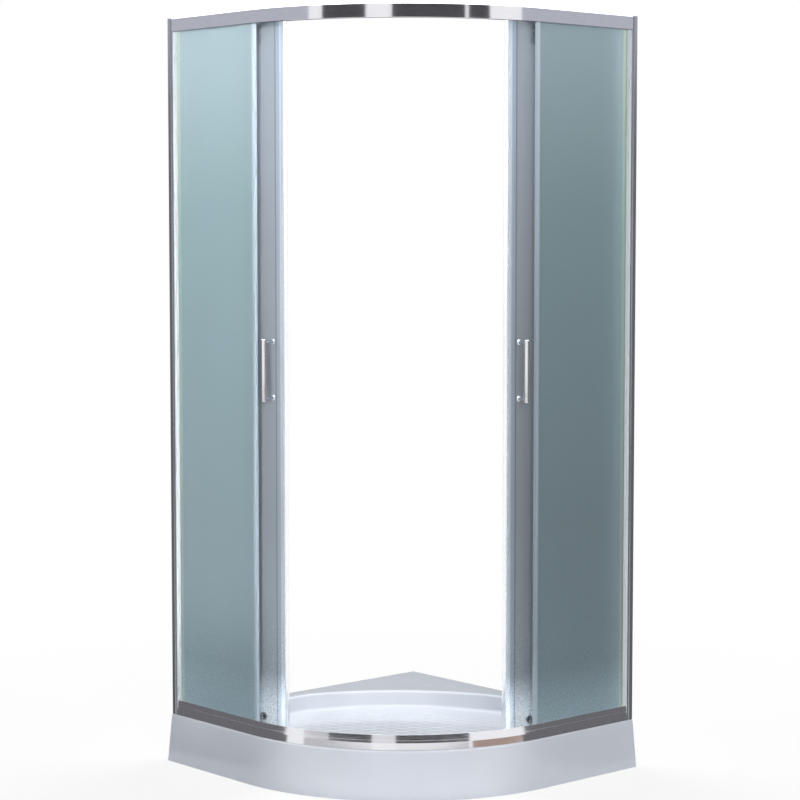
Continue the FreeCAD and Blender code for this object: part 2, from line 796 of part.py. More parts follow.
save_pair("door_glass", [door_glass()])
save_pair("magnet_strip", [magnet_strip()])
save_pair("tail_seal", [tail_seal()])
save_pair("handle", [handle()])
save_pair("handle_caps", handle_caps())
save_pair("hangers", [on_door(hanger(), -roller_angle), on_door(hanger(), roller_angle)])
save_pair("hanger_bolts", hanger_bolts())
save_pair("axles", [on_door(axle(), -roller_angle), on_door(axle(), roller_angle)])
save_pair("lead_wheel", [on_door(wheel(), roller_angle)])
save_pair("tail_wheel", [on_door(wheel(), -roller_angle)])
save_pair("glides", [on_door(glide(), -roller_angle), on_door(glide(), roller_angle)])

# Places that the record repeats: the doors' hinge pole, the closed turn and the wheels.
print("pole", round(pole_x, 4), round(pole_y, 4), "closing turn", round(closing_angle, 4))
for label, angle in (("lead", roller_angle), ("tail", -roller_angle)):
    turned = math.radians(angle)
    reach = rail_radius - wheel_inset
    wheel_x = door_x + reach * math.sin(turned)
    wheel_y = door_y - reach * math.cos(turned)
    print(label, "wheel", round(wheel_x, 4), round(wheel_y, 4), round(wheel_z, 4),
          "axis", round(math.sin(turned), 6), round(-math.cos(turned), 6),
          "travel per turn", round(math.hypot(wheel_x - pole_x, wheel_y - pole_y), 4))
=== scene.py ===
import math
import bmesh
import bpy
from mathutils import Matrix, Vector


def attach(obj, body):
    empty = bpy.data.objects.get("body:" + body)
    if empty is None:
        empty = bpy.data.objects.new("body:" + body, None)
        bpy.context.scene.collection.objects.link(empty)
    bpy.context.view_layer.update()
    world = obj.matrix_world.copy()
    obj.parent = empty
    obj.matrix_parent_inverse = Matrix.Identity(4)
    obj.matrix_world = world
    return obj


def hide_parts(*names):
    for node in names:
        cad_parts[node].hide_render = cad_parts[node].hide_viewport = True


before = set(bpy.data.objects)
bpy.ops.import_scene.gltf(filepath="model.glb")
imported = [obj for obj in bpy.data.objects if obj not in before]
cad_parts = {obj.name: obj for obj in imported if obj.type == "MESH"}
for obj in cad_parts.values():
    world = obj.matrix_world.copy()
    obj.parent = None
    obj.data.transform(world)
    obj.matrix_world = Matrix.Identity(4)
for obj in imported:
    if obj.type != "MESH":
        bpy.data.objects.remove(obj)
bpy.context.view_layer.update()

# ------------------------------------------------------------------ carrying frame
# The tray stands on a welded frame of square steel tube, zinc plated, with screwed feet
# that are turned to level it. Both are hidden once the tray is down.


def finish_of(name, colour, rough, metal=0.0):
    """A new finish: its shader has the even values, patterns are wired in afterwards."""
    finish = bpy.data.materials.new(name)
    finish.use_nodes = True
    shader = finish.node_tree.nodes["Principled BSDF"]
    shader.inputs["Base Color"].default_value = (*colour, 1.0)
    shader.inputs["Roughness"].default_value = rough
    shader.inputs["Metallic"].default_value = metal
    return finish, shader


def pattern(finish, kind, scale, stretch=(1.0, 1.0, 1.0), detail=3.0):
    """A noise or cell texture on Object coordinates, stretched along an axis."""
    nodes, links = finish.node_tree.nodes, finish.node_tree.links
    place = nodes.new("ShaderNodeTexCoord")
    mapping = nodes.new("ShaderNodeMapping")
    mapping.inputs["Scale"].default_value = stretch
    texture = nodes.new(kind)
    texture.inputs["Scale"].default_value = scale
    texture.inputs["Detail"].default_value = detail
    links.new(place.outputs["Object"], mapping.inputs["Vector"])
    links.new(mapping.outputs["Vector"], texture.inputs["Vector"])
    return texture.outputs[0]


def from_to(tree, value, start, end, low=0.0, high=1.0):
    """Turns the run from start to end of a value into the run from low to high."""
    reach = tree.nodes.new("ShaderNodeMapRange")
    for label, number in (("From Min", start), ("From Max", end), ("To Min", low),
                          ("To Max", high)):
        reach.inputs[label].default_value = number
    tree.links.new(value, reach.inputs["Value"])
    return reach.outputs["Result"]


def spread(finish, value, low, high, socket, start=0.3, end=0.7):
    """Sends a pattern to a shader socket, between two values."""
    tree = finish.node_tree
    tree.links.new(from_to(tree, value, start, end, low, high), socket)


def tint(finish, value, stops, socket):
    """Sends a pattern to a colour socket through a ramp of (place, colour) stops."""
    ramp = finish.node_tree.nodes.new("ShaderNodeValToRGB")
    while len(ramp.color_ramp.elements) < len(stops):
        ramp.color_ramp.elements.new(0.5)
    for element, (at, colour) in zip(ramp.color_ramp.elements, stops):
        element.position = at
        element.color = (*colour, 1.0)
    finish.node_tree.links.new(value, ramp.inputs["Fac"])
    finish.node_tree.links.new(ramp.outputs["Color"], socket)


def dress(finish, *names):
    """Gives a finish to CAD nodes that keep their own shape."""
    for name in names:
        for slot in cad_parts[name].material_slots:
            slot.material = finish


zinc, zinc_shader = finish_of("zinc_plate", (0.36, 0.38, 0.40), 0.4, 0.9)
spangle = pattern(zinc, "ShaderNodeTexVoronoi", 90.0, detail=0.0)
tint(zinc, spangle, [(0.0, (0.30, 0.32, 0.34)), (0.6, (0.44, 0.46, 0.49))],
     zinc_shader.inputs["Base Color"])
spread(zinc, spangle, 0.3, 0.5, zinc_shader.inputs["Roughness"], 0.0, 0.8)
dress(zinc, "tray_frame", "tray_feet")

# ------------------------------------------------------------------ acrylic tray
# A white acrylic sheet, drawn down hot over a mould and backed with glass fibre: a flared
# quarter-round skirt, a flat deck, a seat in the back corner and a basin whose floor
# falls to the waste.

half_side = 0.450
bend_centre = (-0.100, 0.100)
foot_bend = 0.550
deck_height = 0.126
skirt_flare = 0.015
deck_edge = 0.007
outer_corner = 0.004
deck_hold = 0.004                             # keeps the deck flat beside a rolled edge
wall_hold = 0.003
basin_front = 0.088
basin_wall = 0.050
basin_corner = 0.036
basin_floor = 0.080
basin_slope = math.radians(72.0)
seat_centre = (0.17437, -0.17437)
seat_bend = 0.600
rim_round = 0.009
cove_round = 0.013
waste_at = (0.130, -0.130)
waste_hole = 0.045
floor_fall = 0.0018
acrylic_sheet = 0.005
sheet_crease = math.radians(35.0)


def arc(centre, radius, start, end, steps):
    """Points of an arc, angles in degrees from +X."""
    turns = [math.radians(start + (end - start) * i / steps) for i in range(steps + 1)]
    return [(centre[0] + radius * math.cos(t), centre[1] + radius * math.sin(t))
            for t in turns]


def between(start, end, steps):
    """Points inside a run, without its ends."""
    return [(start[0] + (end[0] - start[0]) * i / steps,
             start[1] + (end[1] - start[1]) * i / steps) for i in range(1, steps)]


def tray_ring(front, wall, corner, height, seat=0.0):
    """Outline of the tray at one height, inset from its foot line and from the walls.
    With a seat it is the basin's, and its back is round, with that radius."""
    low, left = -half_side + front, -half_side + wall
    high, back = half_side - front, half_side - wall
    first = arc((left + corner, low + corner), corner, 180, 270, 6)
    bend = arc(bend_centre, foot_bend - front, -90, 0, 72)
    last = arc((high - corner, back - corner), corner, 0, 90, 6)
    if seat:
        start = 180 - math.degrees(math.asin((back - seat_centre[1]) / seat))
        rear = arc(seat_centre, seat, start, 270 - start, 48)
    else:
        turned = arc((left + corner, back - corner), corner, 90, 180, 6)
        rear = ([(0.0, back)] + between((0.0, back), turned[0], 21) + turned
                + between(turned[-1], (left, 0.0), 21) + [(left, 0.0)])
    ring = (first + between(first[-1], bend[0], 8) + bend + between(bend[-1], last[0], 8)
            + last + between(last[-1], rear[0], 10) + rear
            + between(rear[-1], first[0], 10))
    return [Vector((x, y, height)) for x, y in ring]


def skin(name, rings, closed_ends=False):
    """A mesh of quads between rings of equally many points."""
    shell = bmesh.new()
    rows = [[shell.verts.new(point) for point in ring] for ring in rings]
    for low, high in zip(rows, rows[1:]):
        for i, _ in enumerate(low):
            j = (i + 1) % len(low)
            shell.faces.new((low[i], low[j], high[j], high[i]))
    if closed_ends:
        shell.faces.new(rows[0][::-1])
        shell.faces.new(rows[-1])
    mesh = bpy.data.meshes.new(name)
    shell.to_mesh(mesh)
    shell.free()
    return mesh


def put(name, data):
    """A new object in the scene, at the origin."""
    piece = bpy.data.objects.new(name, data)
    bpy.context.scene.collection.objects.link(piece)
    return piece


def stand(name, mesh, finish):
    """Puts a finished mesh in the scene, smooth but for its sharp edges."""
    mesh.name = name
    mesh.materials.clear()
    mesh.materials.append(finish)
    mesh.shade_smooth()
    mesh.set_sharp_from_angle(angle=sheet_crease)
    return put(name, mesh)


def settle(piece):
    """Turns a piece's modifiers into its own plain mesh."""
    graph = bpy.context.evaluated_depsgraph_get()
    mesh = bpy.data.meshes.new_from_object(piece.evaluated_get(graph))
    piece.modifiers.clear()
    piece.data = mesh
    return mesh


def grain(finish, shader, value, depth):
    """Raises the surface by a pattern, depth in metres."""
    bump = finish.node_tree.nodes.new("ShaderNodeBump")
    bump.inputs["Distance"].default_value = depth
    finish.node_tree.links.new(value, bump.inputs["Height"])
    finish.node_tree.links.new(bump.outputs["Normal"], shader.inputs["Normal"])


tray_rings = []
for part in range(7):                         # skirt, from the floor up
    height = (deck_height - deck_edge) * part / 6
    tray_rings.append(tray_ring(skirt_flare * height / deck_height, 0.0, outer_corner,
                                height))
edge_front = skirt_flare * (deck_height - deck_edge) / deck_height
for part in range(1, 7):                      # rolled edge of the deck
    turn = math.radians(15 * part)
    tray_rings.append(tray_ring(edge_front + deck_edge * (1 - math.cos(turn)), 0.0,
                                outer_corner,
                                deck_height - deck_edge * (1 - math.sin(turn))))
rim_reach = rim_round + deck_hold
tray_rings.append(tray_ring(edge_front + deck_edge + deck_hold, wall_hold, outer_corner,
                            deck_height))
tray_rings.append(tray_ring(basin_front - rim_reach, basin_wall - rim_reach,
                            basin_corner + 2 * deck_hold, deck_height,
                            seat_bend + rim_reach))
for part in range(7):                         # rolled rim of the basin
    turn = basin_slope * part / 6
    out = rim_round * (1 - math.sin(turn))
    tray_rings.append(tray_ring(basin_front - out, basin_wall - out, basin_corner + out,
                                deck_height - rim_round * (1 - math.cos(turn)),
                                seat_bend + out))
wall_drop = (deck_height - rim_round * (1 - math.cos(basin_slope))
             - basin_floor - cove_round * (1 - math.cos(basin_slope)))
cove_in = (wall_drop / math.tan(basin_slope) - rim_round * (1 - math.sin(basin_slope))
           + cove_round * math.sin(basin_slope))
for part in range(8):                         # cove at the foot of the basin's wall
    turn = basin_slope * (1 - part / 7)
    lean = cove_in - cove_round * math.sin(turn)
    tray_rings.append(tray_ring(basin_front + lean, basin_wall + lean, basin_corner,
                                basin_floor + cove_round * (1 - math.cos(turn)),
                                seat_bend - lean))
floor_edge = tray_rings[-1]
for part in range(1, 6):                      # floor, falling to the waste's hole
    ring = []
    for point in floor_edge:
        away = (point.xy - Vector(waste_at)).normalized()
        at = point.xy.lerp(Vector(waste_at) + away * waste_hole, part / 5)
        ring.append(Vector((at.x, at.y, basin_floor - floor_fall * part / 5)))
    tray_rings.append(ring)

acrylic, acrylic_shader = finish_of("white_acrylic", (0.70, 0.735, 0.80), 0.16)
acrylic_shader.inputs["Coat Weight"].default_value = 0.35
acrylic_shader.inputs["Coat Roughness"].default_value = 0.06
clouding = pattern(acrylic, "ShaderNodeTexNoise", 7.0, detail=2.0)
tint(acrylic, clouding, [(0.3, (0.685, 0.72, 0.785)), (0.7, (0.715, 0.75, 0.81))],
     acrylic_shader.inputs["Base Color"])
wiped = pattern(acrylic, "ShaderNodeTexNoise", 30.0, detail=4.0)
spread(acrylic, wiped, 0.12, 0.22, acrylic_shader.inputs["Roughness"])
orange_peel = pattern(acrylic, "ShaderNodeTexNoise", 160.0, detail=1.0)
grain(acrylic, acrylic_shader, orange_peel, 0.00004)

tray = stand("acrylic_tray", skin("acrylic_tray", tray_rings), acrylic)
thick = tray.modifiers.new("sheet", "SOLIDIFY")
thick.thickness = acrylic_sheet
thick.offset = -1.0
tray_mesh = settle(tray)
for vertex in tray_mesh.vertices:             # the sheet's cut edge stands flat
    vertex.co.z = max(vertex.co.z, 0.0)
tray_mesh.set_sharp_from_angle(angle=sheet_crease)
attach(tray, "enclosure")
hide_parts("tray")

# ------------------------------------------------------------------ ribs on the floor
# Rows of low ribs, formed with the sheet, that keep wet feet from slipping. They cover
# the middle of the basin's floor and leave its edge and the waste free.

rib_long = 0.048
rib_wide = 0.004
rib_high = 0.0008
rib_pitch = 0.018
rib_step = 1.3                                # along a row, in rib lengths
rib_rows, rib_columns = 41, 11
rib_turn = math.radians(45)
rib_clear = 0.072
ribbed_front = 0.395
ribbed_back = 0.505


def maths(tree, operation, *values):
    """The result of a maths node, each value a socket or a plain number."""
    node = tree.nodes.new("ShaderNodeMath")
    node.operation = operation
    for socket, value in zip(node.inputs, values):
        if isinstance(value, (int, float)):
            socket.default_value = value
        else:
            tree.links.new(value, socket)
    return node.outputs[0]


def ribs_on_floor():
    """Tree: a turned grid of ribs, dropped on the tray's floor, every other row set
    over, kept inside the basin's two round edges and away from the waste."""
    tree = bpy.data.node_groups.new("ribs_on_floor", "GeometryNodeTree")
    for label, kind in (("Geometry", "Geometry"), ("Tray", "Object"),
                        ("Length", "Float"), ("Pitch", "Float"),
                        ("Clear of waste", "Float"), ("Waste", "Vector"),
                        ("Finish", "Material")):
        tree.interface.new_socket(label, in_out="INPUT", socket_type="NodeSocket" + kind)
    tree.interface.new_socket("Geometry", in_out="OUTPUT",
                              socket_type="NodeSocketGeometry")
    nodes, links = tree.nodes, tree.links
    given = nodes.new("NodeGroupInput").outputs
    grid = nodes.new("GeometryNodeMeshGrid")
    grid.inputs["Vertices X"].default_value = rib_columns
    grid.inputs["Vertices Y"].default_value = rib_rows
    step = maths(tree, "MULTIPLY", given["Length"], rib_step)
    links.new(maths(tree, "MULTIPLY", step, rib_columns - 1), grid.inputs["Size X"])
    links.new(maths(tree, "MULTIPLY", given["Pitch"], rib_rows - 1),
              grid.inputs["Size Y"])
    index = nodes.new("GeometryNodeInputIndex")
    odd = maths(tree, "MODULO", maths(tree, "MODULO", index.outputs[0], rib_rows), 2)
    over = nodes.new("ShaderNodeCombineXYZ")
    half_step = maths(tree, "MULTIPLY", step, 0.5)
    links.new(maths(tree, "MULTIPLY", odd, half_step), over.inputs["X"])
    shift = nodes.new("GeometryNodeSetPosition")
    links.new(grid.outputs["Mesh"], shift.inputs["Geometry"])
    links.new(over.outputs[0], shift.inputs["Offset"])
    turn = nodes.new("GeometryNodeTransform")
    turn.inputs["Rotation"].default_value = (0.0, 0.0, rib_turn)
    turn.inputs["Translation"].default_value = (0.0, 0.0, deck_height)
    links.new(shift.outputs[0], turn.inputs["Geometry"])
    target = nodes.new("GeometryNodeObjectInfo")
    links.new(given["Tray"], target.inputs["Object"])
    drop = nodes.new("GeometryNodeRaycast")
    drop.inputs["Ray Direction"].default_value = (0.0, 0.0, -1.0)
    drop.inputs["Ray Length"].default_value = 1.0
    links.new(target.outputs["Geometry"], drop.inputs["Target Geometry"])
    place = nodes.new("GeometryNodeSetPosition")
    links.new(turn.outputs[0], place.inputs["Geometry"])
    links.new(drop.outputs["Hit Position"], place.inputs["Position"])

    def distance_to(point):
        node = nodes.new("ShaderNodeVectorMath")
        node.operation = "DISTANCE"
        here = nodes.new("GeometryNodeInputPosition")
        links.new(here.outputs[0], node.inputs[0])
        if isinstance(point, tuple):
            node.inputs[1].default_value = (*point, basin_floor)
        else:
            links.new(point, node.inputs[1])
        return node.outputs["Value"]

    spare = maths(tree, "SUBTRACT", 1.0, drop.outputs["Is Hit"])
    for test, point, reach in (("GREATER_THAN", bend_centre, ribbed_front),
                               ("GREATER_THAN", seat_centre, ribbed_back),
                               ("LESS_THAN", given["Waste"], given["Clear of waste"])):
        outside = maths(tree, test, distance_to(point), reach)
        spare = maths(tree, "MAXIMUM", spare, outside)
    trim = nodes.new("GeometryNodeDeleteGeometry")
    links.new(place.outputs[0], trim.inputs["Geometry"])
    links.new(spare, trim.inputs["Selection"])
    rib = nodes.new("GeometryNodeMeshUVSphere")
    rib.inputs["Segments"].default_value = 12
    rib.inputs["Rings"].default_value = 6
    rib.inputs["Radius"].default_value = 0.5
    scatter = nodes.new("GeometryNodeInstanceOnPoints")
    links.new(trim.outputs[0], scatter.inputs["Points"])
    links.new(rib.outputs["Mesh"], scatter.inputs["Instance"])
    scatter.inputs["Rotation"].default_value = (0.0, 0.0, rib_turn)
    size = nodes.new("ShaderNodeCombineXYZ")
    links.new(given["Length"], size.inputs["X"])
    size.inputs["Y"].default_value = rib_wide
    size.inputs["Z"].default_value = 2 * rib_high
    links.new(size.outputs[0], scatter.inputs["Scale"])
    real = nodes.new("GeometryNodeRealizeInstances")
    links.new(scatter.outputs[0], real.inputs[0])
    coat = nodes.new("GeometryNodeSetMaterial")
    links.new(real.outputs[0], coat.inputs["Geometry"])
    links.new(given["Finish"], coat.inputs["Material"])
    links.new(coat.outputs[0], nodes.new("NodeGroupOutput").inputs[0])
    return tree


def grow(name, start, tree, values):
    """Runs a tree on a starting mesh and keeps its result as a plain mesh object."""
    maker = put(name, start)
    modifier = maker.modifiers.new("make", "NODES")
    modifier.node_group = tree
    sockets = {item.name: item.identifier for item in tree.interface.items_tree
               if item.in_out == "INPUT"}
    for label, value in values.items():
        modifier[sockets[label]] = value
    settle(maker).name = name
    maker.data.shade_smooth()
    return maker


ribs = grow("floor_ribs", bpy.data.meshes.new("floor_ribs"), ribs_on_floor(),
            {"Tray": tray, "Length": rib_long, "Pitch": rib_pitch,
             "Clear of waste": rib_clear, "Waste": (*waste_at, basin_floor),
             "Finish": acrylic})
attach(ribs, "enclosure")

# ------------------------------------------------------------------ waste
# A moulded white cup, screwed up under the hole in the basin, and over it a chromed lid
# on three short legs that lifts out for cleaning.

moulding, moulding_shader = finish_of("white_moulding", (0.62, 0.63, 0.65), 0.42)
flow = pattern(moulding, "ShaderNodeTexNoise", 45.0)
tint(moulding, flow, [(0.3, (0.60, 0.61, 0.63)), (0.7, (0.66, 0.67, 0.69))],
     moulding_shader.inputs["Base Color"])
spread(moulding, flow, 0.36, 0.48, moulding_shader.inputs["Roughness"])
grain(moulding, moulding_shader, pattern(moulding, "ShaderNodeTexNoise", 700.0), 0.00003)
dress(moulding, "drain_body")

chrome, chrome_shader = finish_of("polished_chrome", (0.80, 0.81, 0.84), 0.08, 1.0)
smears = pattern(chrome, "ShaderNodeTexNoise", 60.0, detail=4.0)
spread(chrome, smears, 0.05, 0.13, chrome_shader.inputs["Roughness"])
tint(chrome, smears, [(0.3, (0.78, 0.79, 0.82)), (0.7, (0.84, 0.85, 0.88))],
     chrome_shader.inputs["Base Color"])
dress(chrome, "drain_cover")

# ------------------------------------------------------------------ bent rails
# Two aluminium extrusions, bent to a quarter round, polished and brightened. The top one
# grips the fixed panes and has a ledge for the door rollers. The lower one has a groove,
# a channel for the glides, and a face in two bands under a thin clipped-on lip.

rail_end = -0.432
rail_face = 0.431
rail_bend = 0.531
rail_foot = 0.126
rail_head = 2.000
rail_deep = 0.048
top_rail_low = 1.964
bottom_rail_top = 0.156
lip_low = 0.1502
lip_top = 0.165
groove_front, groove_back = 0.006, 0.015      # the fixed panes' groove in the lower rail
web_back = 0.017                              # the web behind that groove
roof_under = 1.998
channel_floor = 0.128                         # inside the lower rail, under the glides
rail_steps = 96
rail_crease = math.radians(32.0)


def rounded(corners, steps=4, hold=0.0004):
    """Closed section of (across, up, corner radius): each corner is rounded, with a point
    each side of it that keeps the flats flat."""
    ring = []
    for i, (across, up, radius) in enumerate(corners):
        here = Vector((across, up))
        back = Vector(corners[i - 1][:2]) - here
        on = Vector(corners[(i + 1) % len(corners)][:2]) - here
        reach = min(radius / math.tan(back.angle(on) / 2), 0.4 * back.length,
                    0.4 * on.length)
        start, end = here + back.normalized() * reach, here + on.normalized() * reach
        ring.append(start + back.normalized() * min(hold, 0.08 * back.length))
        for k in range(steps + 1):
            t = k / steps
            ring.append(start * (1 - t) ** 2 + here * 2 * t * (1 - t) + end * t * t)
        ring.append(end + on.normalized() * min(hold, 0.08 * on.length))
    return ring


def bent_to_plan():
    """Tree: runs a section along a path of two runs with one round bend between."""
    tree = bpy.data.node_groups.new("bent_to_plan", "GeometryNodeTree")
    for label, kind in (("Path", "Geometry"), ("Section", "Object"),
                        ("Bend radius", "Float"), ("Bend steps", "Int"),
                        ("Finish", "Material")):
        tree.interface.new_socket(label, in_out="INPUT", socket_type="NodeSocket" + kind)
    tree.interface.new_socket("Geometry", in_out="OUTPUT",
                              socket_type="NodeSocketGeometry")
    nodes, links = tree.nodes, tree.links
    given = nodes.new("NodeGroupInput").outputs
    line = nodes.new("GeometryNodeMeshToCurve")
    links.new(given["Path"], line.inputs["Mesh"])
    bend = nodes.new("GeometryNodeFilletCurve")
    bend.mode = "POLY"
    bend.inputs["Limit Radius"].default_value = True
    links.new(line.outputs[0], bend.inputs["Curve"])
    links.new(given["Bend radius"], bend.inputs["Radius"])
    links.new(given["Bend steps"], bend.inputs["Count"])
    level = nodes.new("GeometryNodeSetCurveNormal")
    level.mode = "Z_UP"
    links.new(bend.outputs[0], level.inputs["Curve"])
    shape = nodes.new("GeometryNodeObjectInfo")
    links.new(given["Section"], shape.inputs["Object"])
    outline = nodes.new("GeometryNodeMeshToCurve")
    links.new(shape.outputs["Geometry"], outline.inputs["Mesh"])
    sweep = nodes.new("GeometryNodeCurveToMesh")
    sweep.inputs["Fill Caps"].default_value = True
    links.new(level.outputs[0], sweep.inputs["Curve"])
    links.new(outline.outputs[0], sweep.inputs["Profile Curve"])
    real = nodes.new("GeometryNodeRealizeInstances")
    links.new(sweep.outputs[0], real.inputs[0])
    coat = nodes.new("GeometryNodeSetMaterial")
    links.new(real.outputs[0], coat.inputs["Geometry"])
    links.new(given["Finish"], coat.inputs["Material"])
    links.new(coat.outputs[0], nodes.new("NodeGroupOutput").inputs[0])
    return tree


def outward(mesh):
    """Merges a closed mesh's doubles and turns its faces outwards."""
    shell = bmesh.new()
    shell.from_mesh(mesh)
    bmesh.ops.remove_doubles(shell, verts=shell.verts, dist=0.000001)
    bmesh.ops.recalc_face_normals(shell, faces=shell.faces)
    shell.to_mesh(mesh)
    shell.free()


def bend_rail(name, section):
    """Bends a section of (inset, height) points round the enclosure's front."""
    loop = bpy.data.meshes.new("section")
    loop.from_pydata([(-point.x, -point.y, 0.0) for point in section],
                     [(i, (i + 1) % len(section)) for i in range(len(section))], [])
    cut = put("section", loop)
    line = bpy.data.meshes.new(name)
    line.from_pydata([(rail_end, -rail_face, 0.0), (rail_face, -rail_face, 0.0),
                      (rail_face, -rail_end, 0.0)], [(0, 1), (1, 2)], [])
    piece = grow(name, line, plan_tree, {"Section": cut, "Bend radius": rail_bend,
                                         "Bend steps": rail_steps, "Finish": bright})
    bpy.data.objects.remove(cut)
    outward(piece.data)
    piece.data.shade_smooth()
    piece.data.set_sharp_from_angle(angle=rail_crease)
    return piece


plan_tree = bent_to_plan()
bright, bright_shader = finish_of("bright_rail", (0.80, 0.80, 0.84), 0.12, 1.0)
drawn = pattern(bright, "ShaderNodeTexNoise", 40.0, (1.0, 1.0, 22.0), 4.0)
spread(bright, drawn, 0.06, 0.11, bright_shader.inputs["Roughness"])
tint(bright, drawn, [(0.3, (0.79, 0.79, 0.83)), (0.7, (0.86, 0.86, 0.89))],
     bright_shader.inputs["Base Color"])
grain(bright, bright_shader, drawn, 0.000004)

top_rail = bend_rail("bent_top_rail", rounded([
    (0.0, top_rail_low, 0.0008), (0.0, rail_head, 0.0022), (rail_deep, rail_head, 0.0008),
    (rail_deep, roof_under, 0.0004), (web_back, roof_under, 0.0003),
    (web_back, 1.9855, 0.0003), (0.020, 1.9855, 0.0005), (0.020, 1.9785, 0.0005),
    (web_back, 1.9785, 0.0003), (web_back, 1.975, 0.0005), (0.045, 1.975, 0.0008),
    (0.045, 1.972, 0.0008), (web_back, 1.972, 0.0005), (web_back, top_rail_low, 0.0005),
    (groove_back, top_rail_low, 0.0004), (groove_back, roof_under, 0.0003),
    (0.003, roof_under, 0.0003), (0.003, top_rail_low, 0.0004)]))
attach(top_rail, "enclosure")
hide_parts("top_rail")

bottom_rail = bend_rail("bent_bottom_rail", rounded([
    (0.0, rail_foot, 0.0005), (0.0036, 0.144, 0.002), (0.0049, bottom_rail_top, 0.0003),
    (groove_front, bottom_rail_top, 0.0005), (groove_front, channel_floor, 0.0003),
    (groove_back, channel_floor, 0.0003), (groove_back, bottom_rail_top, 0.0004),
    (web_back, bottom_rail_top, 0.0005), (web_back, 0.153, 0.0003),
    (0.020, 0.153, 0.0005), (0.020, 0.146, 0.0005), (web_back, 0.146, 0.0003),
    (web_back, channel_floor, 0.0004), (0.046, channel_floor, 0.0004),
    (0.046, 0.134, 0.0006), (rail_deep, 0.134, 0.0006), (rail_deep, rail_foot, 0.0004)]))
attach(bottom_rail, "enclosure")
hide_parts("bottom_rail")

rail_lip = bend_rail("rail_lip", rounded([
    (0.0033, lip_low, 0.0003), (0.0049, lip_top, 0.0004), (0.0062, lip_top, 0.0004),
    (0.0062, 0.1562, 0.0002), (0.0048, 0.1562, 0.0001), (0.0042, lip_low, 0.0003)]))
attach(rail_lip, "enclosure")

# ------------------------------------------------------------------ wall uprights
# Anodised aluminium extrusions: a channel screwed to each wall, and in it a sliding post
# that grips the pane, so that the enclosure can be set true against a wall that isn't.

upright, upright_shader = finish_of("bright_upright", (0.60, 0.61, 0.64), 0.22, 1.0)
drawn_up = pattern(upright, "ShaderNodeTexNoise", 260.0, (1.0, 1.0, 0.02), 4.0)
spread(upright, drawn_up, 0.2, 0.26, upright_shader.inputs["Roughness"])
tint(upright, drawn_up, [(0.3, (0.58, 0.59, 0.62)), (0.7, (0.63, 0.64, 0.67))],
     upright_shader.inputs["Base Color"])
grain(upright, upright_shader, drawn_up, 0.000002)
dress(upright, "left_wall_channel", "right_wall_channel", "left_post", "right_post")

steel, steel_shader = finish_of("stainless_steel", (0.55, 0.56, 0.58), 0.28, 1.0)
turned_marks = pattern(steel, "ShaderNodeTexNoise", 900.0)
spread(steel, turned_marks, 0.2, 0.38, steel_shader.inputs["Roughness"])
grain(steel, steel_shader, turned_marks, 0.00001)
dress(steel, "rail_screws")

# ------------------------------------------------------------------ fixed panes
# Toughened glass, 5 mm, etched on one face to a cool blue-green frost. It slides into
# the rails' grooves and the post, and a strip covers its free edge.

border_soft = 0.0015                          # half the width of a border's blurred edge


def place_on(finish):
    """X, Y and Z of a piece's points, as sockets."""
    place = finish.node_tree.nodes.new("ShaderNodeTexCoord")
    split = finish.node_tree.nodes.new("ShaderNodeSeparateXYZ")
    finish.node_tree.links.new(place.outputs["Object"], split.inputs[0])
    return split.outputs


def height_of(finish):
    """Height above the floor, 0 at the floor and 1 at the top rail."""
    return maths(finish.node_tree, "MULTIPLY", place_on(finish)["Z"], 1 / rail_head)


def blended(finish, mode, factor, first, second):
    """Mixes two colours, each a socket or a plain colour, by a factor."""
    mix = finish.node_tree.nodes.new("ShaderNodeMix")
    mix.data_type, mix.blend_type = "RGBA", mode
    for label, value in (("Factor", factor), ("A", first), ("B", second)):
        if isinstance(value, tuple):
            mix.inputs[label].default_value = (*value, 1.0)
        else:
            finish.node_tree.links.new(value, mix.inputs[label])
    return mix.outputs["Result"]


def from_entry(finish):
    """Distance of a pane's points from the entry's side, along either wall."""
    place = place_on(finish)
    left = maths(finish.node_tree, "MULTIPLY", place["X"], -1.0)
    return maths(finish.node_tree, "MAXIMUM", left, place["Y"])


def frosted(name, stops, borders):
    """Etched glass whose colour ramp by height is painted light, lighter at the top and
    low down, speckled low down, with borders as (start, end, colour) along either wall."""
    finish, shader = finish_of(name, stops[1][1], 0.5)
    shader.inputs["Transmission Weight"].default_value = 0.45
    shader.inputs["IOR"].default_value = 1.45
    shader.inputs["Coat Weight"].default_value = 0.25
    shader.inputs["Coat Roughness"].default_value = 0.12
    shader.inputs["Specular IOR Level"].default_value = 0.3
    tree = finish.node_tree
    height = height_of(finish)
    tint(finish, height, stops, shader.inputs["Base Color"])
    shade = shader.inputs["Base Color"].links[0].from_socket
    speck = pattern(finish, "ShaderNodeTexNoise", 330.0, detail=1.0)
    speck = from_to(tree, speck, 0.38, 0.62, 0.72, 1.28)
    speckled = from_to(tree, height, 0.09, 0.26, 1.0, 0.06)
    shade = blended(finish, "MULTIPLY", speckled, shade, speck)
    along = from_entry(finish)
    for start, end, colour in borders:
        into = from_to(tree, along, start - border_soft, start + border_soft)
        out = from_to(tree, along, end - border_soft, end + border_soft)
        mask = maths(tree, "SUBTRACT", into, out)
        shade = blended(finish, "MULTIPLY", mask, shade, colour)
    tree.links.new(shade, shader.inputs["Base Color"])
    etch = pattern(finish, "ShaderNodeTexNoise", 420.0, detail=4.0)
    spread(finish, etch, 0.44, 0.62, shader.inputs["Roughness"])
    grain(finish, shader, etch, 0.00012)
    return finish
